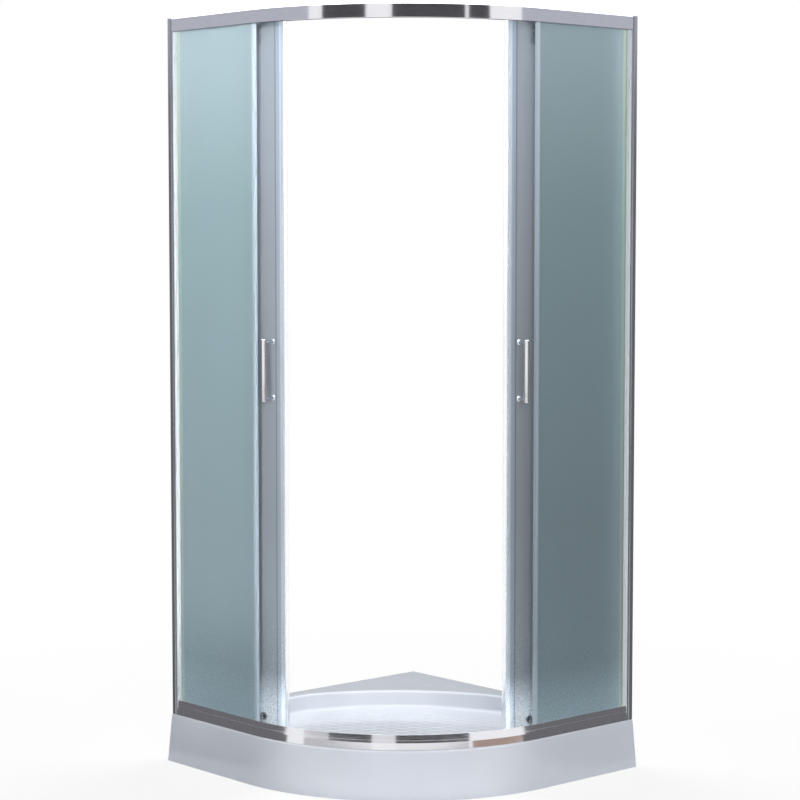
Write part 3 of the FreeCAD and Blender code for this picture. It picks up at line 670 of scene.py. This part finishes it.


# The ramp by height is painted light: lighter at the top where light falls from above,
# lighter low down where it bounces off the white tray, darker at mid-height.
frost = frosted("blue_green_frost", [
    (0.07, (0.42, 0.55, 0.60)), (0.10, (0.38, 0.50, 0.55)),
    (0.15, (0.275, 0.36, 0.40)), (0.35, (0.27, 0.355, 0.39)),
    (0.60, (0.295, 0.41, 0.44)), (0.75, (0.325, 0.455, 0.485)),
    (0.91, (0.44, 0.57, 0.61)), (0.98, (0.48, 0.61, 0.66))],
    [(0.404, 0.45, (1.35, 1.28, 1.08))])
dress(frost, "left_fixed_glass", "right_fixed_glass")

# ------------------------------------------------------------------ gaskets and strips
# Clear soft vinyl: a gasket pressed between post and pane, and a strip on each fixed
# pane's free edge, with a fin that meets the door's seal.

vinyl, vinyl_shader = finish_of("clear_vinyl", (0.80, 0.86, 0.90), 0.3)
vinyl_shader.inputs["Transmission Weight"].default_value = 0.15
vinyl_shader.inputs["Coat Weight"].default_value = 0.3
haze = pattern(vinyl, "ShaderNodeTexNoise", 120.0, (1.0, 1.0, 0.08))
tint(vinyl, haze, [(0.3, (0.76, 0.83, 0.87)), (0.7, (0.84, 0.90, 0.93))],
     vinyl_shader.inputs["Base Color"])
spread(vinyl, haze, 0.24, 0.38, vinyl_shader.inputs["Roughness"])
grain(vinyl, vinyl_shader, haze, 0.00002)
dress(vinyl, "left_glass_gasket", "right_glass_gasket")

tinted, tinted_shader = finish_of("tinted_vinyl", (0.42, 0.50, 0.57), 0.3)
tinted_shader.inputs["Transmission Weight"].default_value = 0.15
tinted_shader.inputs["Coat Weight"].default_value = 0.3
# The ramp by height is painted light, as on the glass: lighter at the top and low down,
# darker at mid-height.
tint(tinted, height_of(tinted), [
    (0.07, (0.56, 0.67, 0.75)), (0.12, (0.46, 0.56, 0.63)), (0.18, (0.37, 0.44, 0.50)),
    (0.415, (0.41, 0.49, 0.56)), (0.615, (0.433, 0.52, 0.60)),
    (0.815, (0.60, 0.71, 0.81)), (0.96, (0.74, 0.85, 0.94))],
    tinted_shader.inputs["Base Color"])
drawn_vinyl = pattern(tinted, "ShaderNodeTexNoise", 160.0, (1.0, 1.0, 0.05))
spread(tinted, drawn_vinyl, 0.26, 0.36, tinted_shader.inputs["Roughness"])
grain(tinted, tinted_shader, drawn_vinyl, 0.00001)
dress(tinted, "left_edge_strip", "right_edge_strip")

# ------------------------------------------------------------------ clips and stops
# Small moulded clips hold the fixed panes' free corners to the rails' inner webs, and
# rubber blocks on the roller ledge stop the doors.

grey, grey_shader = finish_of("grey_moulding", (0.10, 0.115, 0.13), 0.38)
moulded = pattern(grey, "ShaderNodeTexNoise", 400.0)
tint(grey, moulded, [(0.3, (0.085, 0.10, 0.115)), (0.7, (0.13, 0.145, 0.16))],
     grey_shader.inputs["Base Color"])
spread(grey, moulded, 0.32, 0.46, grey_shader.inputs["Roughness"])
grain(grey, grey_shader, moulded, 0.00003)
dress(grey, "edge_clips")

rubber, rubber_shader = finish_of("stop_rubber", (0.015, 0.015, 0.017), 0.7)
dust = pattern(rubber, "ShaderNodeTexNoise", 350.0)
tint(rubber, dust, [(0.35, (0.012, 0.012, 0.014)), (0.75, (0.03, 0.03, 0.033))],
     rubber_shader.inputs["Base Color"])
spread(rubber, dust, 0.6, 0.8, rubber_shader.inputs["Roughness"])
grain(rubber, rubber_shader, dust, 0.00006)
dress(rubber, "rail_stops")

# ------------------------------------------------------------------ sliding panes
# Curved toughened glass with the same frost, seen greyer where no fixed pane is before
# it. Each has holes for its hangers and its handle.

# The ramp by height is painted light too: near white at the foot as a painted glow off
# the white tray, lighter at the top, darker at mid-height.
door_frost = frosted("grey_frost", [
    (0.085, (0.86, 0.92, 0.96)), (0.10, (0.80, 0.87, 0.93)),
    (0.145, (0.29, 0.33, 0.37)), (0.35, (0.262, 0.29, 0.32)),
    (0.60, (0.293, 0.322, 0.358)), (0.75, (0.32, 0.35, 0.395)),
    (0.935, (0.392, 0.44, 0.492))],
    [(0.03, 0.0445, (1.9, 1.85, 1.8)), (0.0445, 0.055, (1.12, 1.19, 1.27)),
     (0.055, 0.0576, (0.4, 0.4, 0.42))])
dress(door_frost, "left_door_glass", "right_door_glass")

# ------------------------------------------------------------------ magnet strips
# Soft, nearly clear vinyl, pushed on the leading edge of each sliding pane, with a
# round-cornered head that holds the magnet, so that the two doors stay shut.

door_centre = (-0.22109, 0.08638)
pane_bend = 0.492
pane_half = 0.0025
pane_edge = math.radians(22.25)
strip_foot = 0.142
strip_head = 1.968
strip_end = 0.0005                            # keeps the cut ends flat


def on_pane(along, out, height, past=pane_edge):
    """A point near the open left pane: along it past an angle, out from its middle."""
    turn = past + along / pane_bend
    reach = pane_bend + out
    return Vector((door_centre[0] + reach * math.sin(turn),
                   door_centre[1] - reach * math.cos(turn), height))


def seat_piece(piece, body, slot, *nodes):
    """Rides a piece on a body, in the place of the CAD nodes it stands for, if any."""
    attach(piece, body)
    if nodes:
        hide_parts(*nodes)


def twin(piece, name, body, slot, *nodes):
    """The right-hand copy of a left piece, mirrored across the diagonal."""
    mesh = piece.data.copy()
    for vertex in mesh.vertices:
        vertex.co = (-vertex.co.y, -vertex.co.x, vertex.co.z)
    mesh.flip_normals()
    other = stand(name, mesh, piece.data.materials[0])
    seat_piece(other, body, slot, *nodes)


strip_outline = rounded([
    (-0.006, pane_half, 0.0003), (-0.006, 0.0037, 0.0006), (0.0012, 0.0037, 0.0008),
    (0.0022, 0.0031, 0.0008), (0.0034, 0.0031, 0.0008), (0.0044, 0.0037, 0.0008),
    (0.009, 0.0037, 0.0014), (0.009, -0.0037, 0.0014), (0.0044, -0.0037, 0.0008),
    (0.0034, -0.0031, 0.0008), (0.0022, -0.0031, 0.0008), (0.0012, -0.0037, 0.0008),
    (-0.006, -0.0037, 0.0006), (-0.006, -pane_half, 0.0003), (0.0, -pane_half, 0.0002),
    (0.0, pane_half, 0.0002)])
strip_rings = [[on_pane(point.x, point.y, height) for point in strip_outline]
               for height in (strip_foot, strip_foot + strip_end,
                              strip_head - strip_end, strip_head)]
strip_mesh = skin("left_magnet_seal", strip_rings, closed_ends=True)
outward(strip_mesh)

soft_white, soft_white_shader = finish_of("soft_white_vinyl", (0.92, 0.95, 0.98), 0.2)
soft_white_shader.inputs["Transmission Weight"].default_value = 0.92
soft_white_shader.inputs["IOR"].default_value = 1.18
sheen_lines = pattern(soft_white, "ShaderNodeTexNoise", 150.0, (1.0, 1.0, 0.05))
tint(soft_white, sheen_lines, [(0.3, (0.92, 0.95, 0.98)), (0.7, (0.97, 0.985, 1.0))],
     soft_white_shader.inputs["Base Color"])
spread(soft_white, sheen_lines, 0.12, 0.26, soft_white_shader.inputs["Roughness"])
grain(soft_white, soft_white_shader, sheen_lines, 0.00002)
magnet_seal = stand("left_magnet_seal", strip_mesh, soft_white)
seat_piece(magnet_seal, "left_door", "clear_vinyl", "left_magnet_strip")
twin(magnet_seal, "right_magnet_seal", "right_door", "clear_vinyl", "right_magnet_strip")

# ------------------------------------------------------------------ trailing seals
# Clear soft vinyl, pushed on the trailing edge of each sliding pane, with a lip that
# leans out to the fixed pane's strip and keeps the spray in.

dress(vinyl, "left_tail_seal", "right_tail_seal")

# ------------------------------------------------------------------ handles
# Chromed zinc: a round bar on two posts that pass through the pane, with a collar on its
# face and a round nut behind it.

handle_low = 1.0085
handle_high = 1.1535
handle_reach = 0.540
handle_past = math.radians(18.4652)
bar_radius = 0.007
bar_overhang = 0.008
post_radius = 0.0045
bar_soft = 0.0022                             # rounding of the bar's ends
collar_radius = 0.0075
collar_high = 0.003
collar_soft = 0.0009


def turned(body, profile, start, along, steps=40):
    """Adds a round body to a mesh: (distance, radius) points turned about an axis."""
    along = along.normalized()
    side = along.orthogonal().normalized()
    other = along.cross(side)
    rings = []
    for far, radius in profile:
        middle = start + along * far
        rings.append([body.verts.new(middle + (side * math.cos(turn)
                                               + other * math.sin(turn)) * radius)
                      for turn in (2 * math.pi * i / steps for i in range(steps))])
    for low, high in zip(rings, rings[1:]):
        for i in range(steps):
            j = (i + 1) % steps
            body.faces.new((low[i], low[j], high[j], high[i]))
    body.faces.new(rings[0][::-1])
    body.faces.new(rings[-1])


def on_handle(out, height):
    """A point above or below the handle's line, out from the open left door's centre."""
    return on_pane(0.0, out - pane_bend, height, handle_past)


def edge_of(radius, length, soft, steps=5):
    """Profile of a round bar with softened ends."""
    rise = [(soft * (1 - math.cos(math.pi / 2 * i / steps)),
             radius - soft * (1 - math.sin(math.pi / 2 * i / steps)))
            for i in range(steps + 1)]
    hold = [(soft + 0.0006, radius), (length - soft - 0.0006, radius)]
    return rise + hold + [(length - far, size) for far, size in rise[::-1]]


handle_body = bmesh.new()
bar_length = handle_high - handle_low + 2 * bar_overhang
turned(handle_body, edge_of(bar_radius, bar_length, bar_soft),
       on_handle(handle_reach, handle_low - bar_overhang), Vector((0, 0, 1)))
for height in (handle_low, handle_high):
    foot = on_handle(pane_bend - pane_half, height)
    face = on_handle(pane_bend + pane_half, height)
    head = on_handle(handle_reach, height)
    turned(handle_body, [(0.0, post_radius), ((head - foot).length, post_radius)], foot,
           head - foot, 28)
    turned(handle_body, edge_of(collar_radius, collar_high, collar_soft, 4), face,
           head - face, 32)
    turned(handle_body, [(collar_high, post_radius + 0.0014),
                         (collar_high + 0.0006, post_radius + 0.0006),
                         (collar_high + 0.0016, post_radius + 0.0001)], face,
           head - face, 28)
handle_mesh = bpy.data.meshes.new("left_bow_handle")
handle_body.to_mesh(handle_mesh)
handle_body.free()
handle = stand("left_bow_handle", handle_mesh, chrome)
seat_piece(handle, "left_door", "chrome", "left_handle")
twin(handle, "right_bow_handle", "right_door", "chrome", "right_handle")
dress(chrome, "left_handle_caps", "right_handle_caps")

# ------------------------------------------------------------------ hangers
# Each door hangs from two bent steel brackets, coated white, clamped to the pane by bolts
# with round nylon caps and nutted to stepped stainless axles that carry the rollers.

coated, coated_shader = finish_of("white_powder_coat", (0.76, 0.78, 0.80), 0.4)
coat_peel = pattern(coated, "ShaderNodeTexNoise", 500.0)
tint(coated, coat_peel, [(0.3, (0.73, 0.75, 0.77)), (0.7, (0.79, 0.81, 0.83))],
     coated_shader.inputs["Base Color"])
spread(coated, coat_peel, 0.34, 0.46, coated_shader.inputs["Roughness"])
grain(coated, coated_shader, coat_peel, 0.00003)
dress(coated, "left_hangers", "right_hangers")
dress(steel, "left_axles", "right_axles")

# ------------------------------------------------------------------ rollers and glides
# Turned nylon wheels that run on the top rail's ledge, and moulded nylon shoes whose pins
# slide in the bottom rail's channel.

nylon, nylon_shader = finish_of("white_nylon", (0.70, 0.70, 0.67), 0.4)
nylon_shader.inputs["Subsurface Weight"].default_value = 0.1
nylon_shader.inputs["Subsurface Radius"].default_value = (0.002, 0.002, 0.002)
swirl = pattern(nylon, "ShaderNodeTexNoise", 200.0)
tint(nylon, swirl, [(0.3, (0.67, 0.67, 0.64)), (0.7, (0.74, 0.74, 0.71))],
     nylon_shader.inputs["Base Color"])
spread(nylon, swirl, 0.34, 0.48, nylon_shader.inputs["Roughness"])
grain(nylon, nylon_shader, swirl, 0.00002)
dress(nylon, "left_lead_wheel", "left_tail_wheel", "right_lead_wheel",
      "right_tail_wheel", "left_glides", "right_glides")

natural, natural_shader = finish_of("natural_nylon", (0.40, 0.44, 0.49), 0.4)
natural_shader.inputs["Transmission Weight"].default_value = 0.3
milk = pattern(natural, "ShaderNodeTexNoise", 260.0)
tint(natural, milk, [(0.3, (0.38, 0.42, 0.47)), (0.7, (0.42, 0.46, 0.51))],
     natural_shader.inputs["Base Color"])
spread(natural, milk, 0.36, 0.46, natural_shader.inputs["Roughness"])
dress(natural, "left_hanger_bolts", "right_hanger_bolts")

# ------------------------------------------------------------------ glide caps
# A bright round cap with a dark screw on the face of each pane, that clamps the leading
# glide to the pane's lower edge.

glide_past = math.radians(14.6)
glide_cap_height = 0.1722
glide_cap_radius = 0.0100
glide_cap_thick = 0.003
glide_cap_soft = 0.0008
glide_screw_radius = 0.0038


def on_cap(out):
    """A point on the cap's axis, out from the open left pane's face."""
    return on_pane(0.0, pane_half + out, glide_cap_height, glide_past)


for name, finish, slot, outline in (
        ("glide_cap", steel, "stainless",
         [(0.0, glide_cap_radius), (glide_cap_thick - glide_cap_soft, glide_cap_radius),
          (glide_cap_thick, glide_cap_radius - glide_cap_soft),
          (glide_cap_thick, 0.0062), (glide_cap_thick - 0.001, 0.0054)]),
        ("glide_screw", grey, "grey_plastic",
         [(0.0, glide_screw_radius), (glide_cap_thick - 0.0004, glide_screw_radius),
          (glide_cap_thick, glide_screw_radius - 0.0012)])):
    cap_body = bmesh.new()
    turned(cap_body, outline, on_cap(0.0), on_cap(1.0) - on_cap(0.0), 32)
    cap_mesh = bpy.data.meshes.new(name)
    cap_body.to_mesh(cap_mesh)
    cap_body.free()
    cap = stand("left_" + name, cap_mesh, finish)
    seat_piece(cap, "left_door", slot)
    twin(cap, "right_" + name, "right_door", slot)

# ------------------------------------------------------------------ studio
# A pale floor that keeps the shadow, a white room, a wide soft lamp behind the camera,
# one overhead, a weak one at the back, a narrow one on the left-hand glass, and cards
# that only polished surfaces mirror.


def seen_plain(tree):
    """1 for what the camera, metal and glass see of the room, 0 for its other light."""
    path = tree.nodes.new("ShaderNodeLightPath")
    value = path.outputs["Is Camera Ray"]
    for label in ("Is Glossy Ray", "Is Transmission Ray"):
        value = maths(tree, "MAXIMUM", value, path.outputs[label])
    return value


room_light = 0.24
world = bpy.data.worlds.new("white_room")
bpy.context.scene.world = world
world.use_nodes = True
room = world.node_tree
plain = seen_plain(room)
room_level = from_to(room, plain, 0.0, 1.0, room_light, 1.0)
room_colour = room.nodes.new("ShaderNodeMix")
room_colour.data_type = "RGBA"
room_colour.inputs["A"].default_value = (0.94, 0.96, 1.0, 1.0)
room_colour.inputs["B"].default_value = (1.0, 1.0, 1.0, 1.0)
room.links.new(plain, room_colour.inputs["Factor"])
room.links.new(room_level, room.nodes["Background"].inputs["Strength"])
room.links.new(room_colour.outputs["Result"], room.nodes["Background"].inputs["Color"])

floor_reach = 20.0
fade_near, fade_far, fade_least = 0.7, 2.2, 0.86
floor_mesh = bpy.data.meshes.new("studio_floor")
floor_mesh.from_pydata([(across * floor_reach, along * floor_reach, 0.0)
                        for across, along in ((-1, -1), (1, -1), (1, 1), (-1, 1))],
                       [], [(0, 1, 2, 3)])
paper, paper_shader = finish_of("pale_floor", (0.86, 0.86, 0.87), 0.8)
paper_nodes, paper_links = paper.node_tree.nodes, paper.node_tree.links
white = paper_nodes.new("ShaderNodeEmission")
mix = paper_nodes.new("ShaderNodeMixShader")
place = paper_nodes.new("ShaderNodeTexCoord")
away = paper_nodes.new("ShaderNodeVectorMath")
away.operation = "LENGTH"
paper_links.new(place.outputs["Object"], away.inputs[0])
fade = from_to(paper.node_tree, away.outputs["Value"], fade_near, fade_far, fade_least)
paper_links.new(maths(paper.node_tree, "MULTIPLY", fade, seen_plain(paper.node_tree)),
                mix.inputs["Fac"])
paper_links.new(paper_shader.outputs[0], mix.inputs[1])
paper_links.new(white.outputs[0], mix.inputs[2])
paper_links.new(mix.outputs[0], paper_nodes["Material Output"].inputs["Surface"])
floor_mesh.materials.append(paper)
floor = put("studio_floor", floor_mesh)


def mirrored_card(name, start, end, near, far, colour):
    """A bent card that only polished surfaces mirror: between two angles from -Y towards
    +X, and from one (radius, height) to another."""
    steps = max(2, int((end - start) / 4))
    turns = [math.radians(start + (end - start) * i / steps) for i in range(steps + 1)]
    points = [(bend_centre[0] + radius * math.sin(t),
               bend_centre[1] - radius * math.cos(t), height)
              for t in turns for radius, height in (near, far)]
    mesh = bpy.data.meshes.new(name)
    mesh.from_pydata(points, [], [(2 * i, 2 * i + 1, 2 * i + 3, 2 * i + 2)
                                  for i in range(steps)])
    shade = bpy.data.materials.new(name)
    shade.use_nodes = True
    nodes, links = shade.node_tree.nodes, shade.node_tree.links
    nodes.remove(nodes["Principled BSDF"])
    glow = nodes.new("ShaderNodeEmission")
    glow.inputs["Color"].default_value = (*colour, 1.0)
    links.new(glow.outputs[0], nodes["Material Output"].inputs["Surface"])
    mesh.materials.append(shade)
    card = put(name, mesh)
    card.visible_camera = card.visible_diffuse = card.visible_transmission = False
    card.visible_shadow = card.visible_volume_scatter = False


lilac, black, dim = (0.50, 0.51, 0.57), (0.07, 0.07, 0.075), (0.16, 0.16, 0.17)
silver, pearl, bronze = (0.55, 0.55, 0.57), (0.80, 0.80, 0.82), (0.42, 0.31, 0.26)
glow_overhead = (4.0, 4.1, 4.2)
card_far = 4.5
card_foot = 0.002
card_near = 0.9
aloft, aside, waist, low_down = (2.1, 2.9), (0.0, 2.1), (0.52, 0.75), (0.0, 0.42)
for name, start, end, (low, high), colour in (
        ("high_left", -75, -4, aloft, lilac), ("high_a", 4, 28, aloft, black),
        ("high_b", 42, 81, aloft, black), ("high_c", 83, 95, aloft, black),
        ("high_right", 115, 160, aloft, lilac), ("side_left", -75, -19, aside, dim),
        ("side_right", 117, 160, aside, dim), ("back", 160, 285, aside, dim),
        ("waist_a", -8, 31, waist, silver), ("waist_b", 44, 84, waist, silver),
        ("waist_c", 86, 117, (0.46, 1.1), bronze), ("low_a", 7, 31, low_down, black),
        ("low_b", 44, 84, low_down, black), ("low_c", -8, 7, low_down, silver),
        ("low_d", 31, 44, low_down, pearl)):
    mirrored_card("card_" + name, start, end, (card_far, low), (card_far, high), colour)
for name, start, end in (("floor_left", -75, -19), ("floor_right", 117, 160)):
    mirrored_card("card_" + name, start, end, (card_near, card_foot),
                  (card_far, card_foot), dim)
mirrored_card("card_overhead", -75, 160, (3.2, 3.0), (1.0, 4.6), glow_overhead)


def soft_lamp(name, place, aim, wide, high, watts, beam=180.0):
    """An area lamp, with its beam's width in degrees."""
    light = bpy.data.lights.new(name, "AREA")
    light.shape = "RECTANGLE"
    light.size, light.size_y = wide, high
    light.energy = watts
    light.spread = math.radians(beam)
    lamp = put(name, light)
    lamp.location = place
    facing = Vector(aim) - Vector(place)
    lamp.rotation_euler = facing.to_track_quat("-Z", "Y").to_euler()
    lamp.visible_camera = lamp.visible_glossy = False


soft_lamp("key", (4.8, -3.25, 2.4), (0.0, 0.0, 0.6), 3.0, 3.0, 163.0)
soft_lamp("overhead", (-0.35, 0.35, 3.6), (-0.35, 0.35, 0.0), 0.8, 0.8, 92.0)
soft_lamp("back", (-3.4, 3.2, 2.2), (0.0, 0.0, 1.0), 2.0, 2.0, 15.0)
soft_lamp("left_strip", (2.112, -3.672, 1.75), (-0.238, -0.432, 1.2), 0.34, 1.8, 3.0,
          8.0)

eye = bpy.data.cameras.new("camera")
eye.sensor_width = 36.0
eye.lens = 101.369
camera = put("camera", eye)
camera.location = (4.488012, -3.991484, 1.444417)
camera.rotation_euler = (math.radians(85.6388), 0.0, math.radians(48.3708))
bpy.context.scene.camera = camera
bpy.context.scene.view_settings.view_transform = "Standard"
